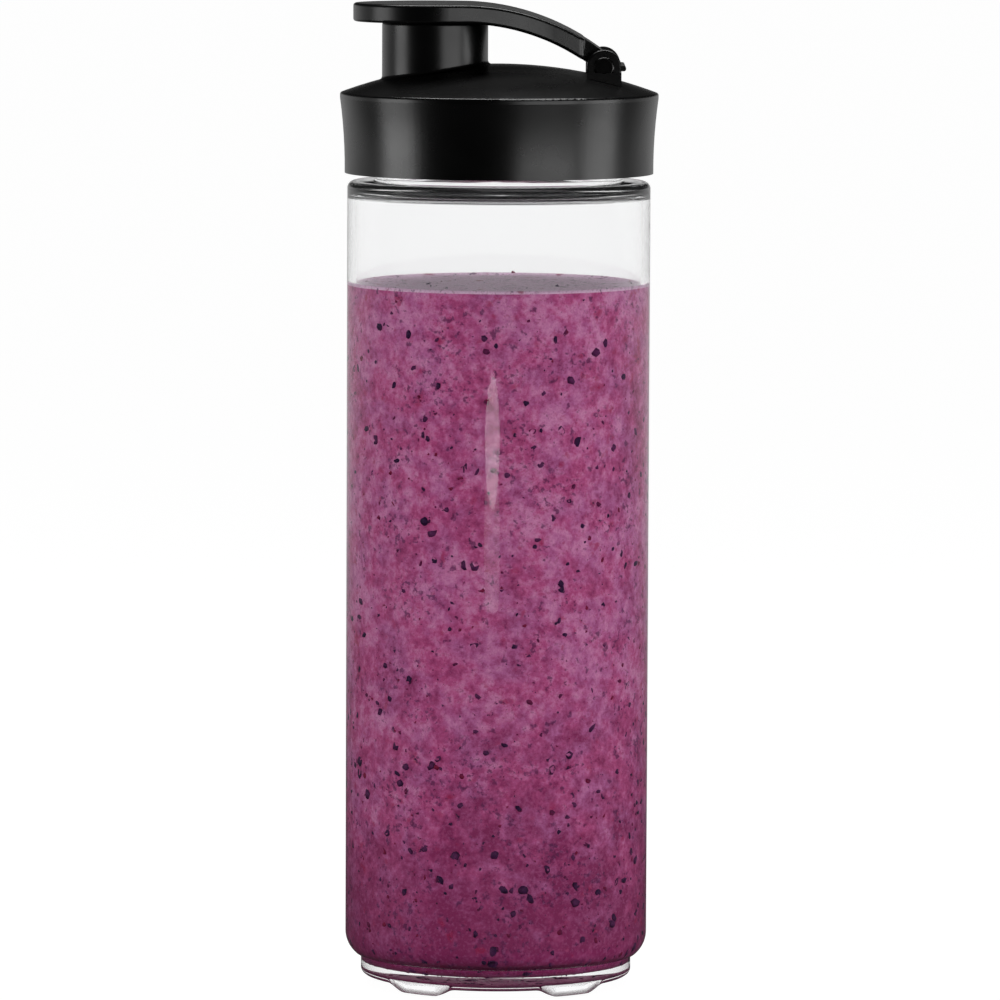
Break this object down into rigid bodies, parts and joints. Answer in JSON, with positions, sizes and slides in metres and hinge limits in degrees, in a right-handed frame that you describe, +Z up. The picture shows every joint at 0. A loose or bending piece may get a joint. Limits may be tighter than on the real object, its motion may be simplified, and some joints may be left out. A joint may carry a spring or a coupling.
{
  "type": "blender drinking bottle",
  "caption": "Clear cylindrical drinking bottle of a personal blender, filled with berry smoothie, with a black screw-on lid, round spout and hinged flip cap on an arched arm.",
  "frame": {"origin": "on the bottle's axis, on the surface that the bottle's feet stand on", "axes": "+Z up along the bottle's axis; +X towards the lid's hinge, so the spout is on the -X side; -Y is the front"},
  "size_m": [0.0756, 0.0756, 0.2339],
  "materials": {
    "clear_plastic": "clear, polished",
    "smoothie": "thick berry smoothie with dark flecks",
    "silicone": "matt silicone",
    "black_plastic": "satin black, fine texture",
    "pin_plastic": "smooth black"
  },
  "bodies": {
    "bottle": {"bottle": "clear_plastic", "smoothie": "smoothie"},
    "gasket": {"lid_gasket": "silicone"},
    "lid": {"lid": "black_plastic", "hinge_pin": "pin_plastic"},
    "flip_cap": {"flip_cap": "black_plastic", "spout_seal": "silicone"}
  },
  "joints": [
    {"name": "lid_lift", "type": "slide", "parent": "bottle", "child": "gasket", "axis": [0, 0, 1], "range_m": [0, 0.02001]},
    {"name": "lid_turn", "type": "hinge", "parent": "gasket", "child": "lid", "pos_m": [0, 0, 0.2], "axis": [0, 0, 1], "range_deg": [0, 1440]},
    {"name": "cap_hinge", "type": "hinge", "parent": "lid", "child": "flip_cap", "pos_m": [0.0247, 0, 0.21915], "axis": [0, 1, 0], "range_deg": [0, 90]}
  ],
  "couplings": [
    {"joint": "lid_lift", "follows": "lid_turn", "m_per_rad": 0.00079577}
  ]
}
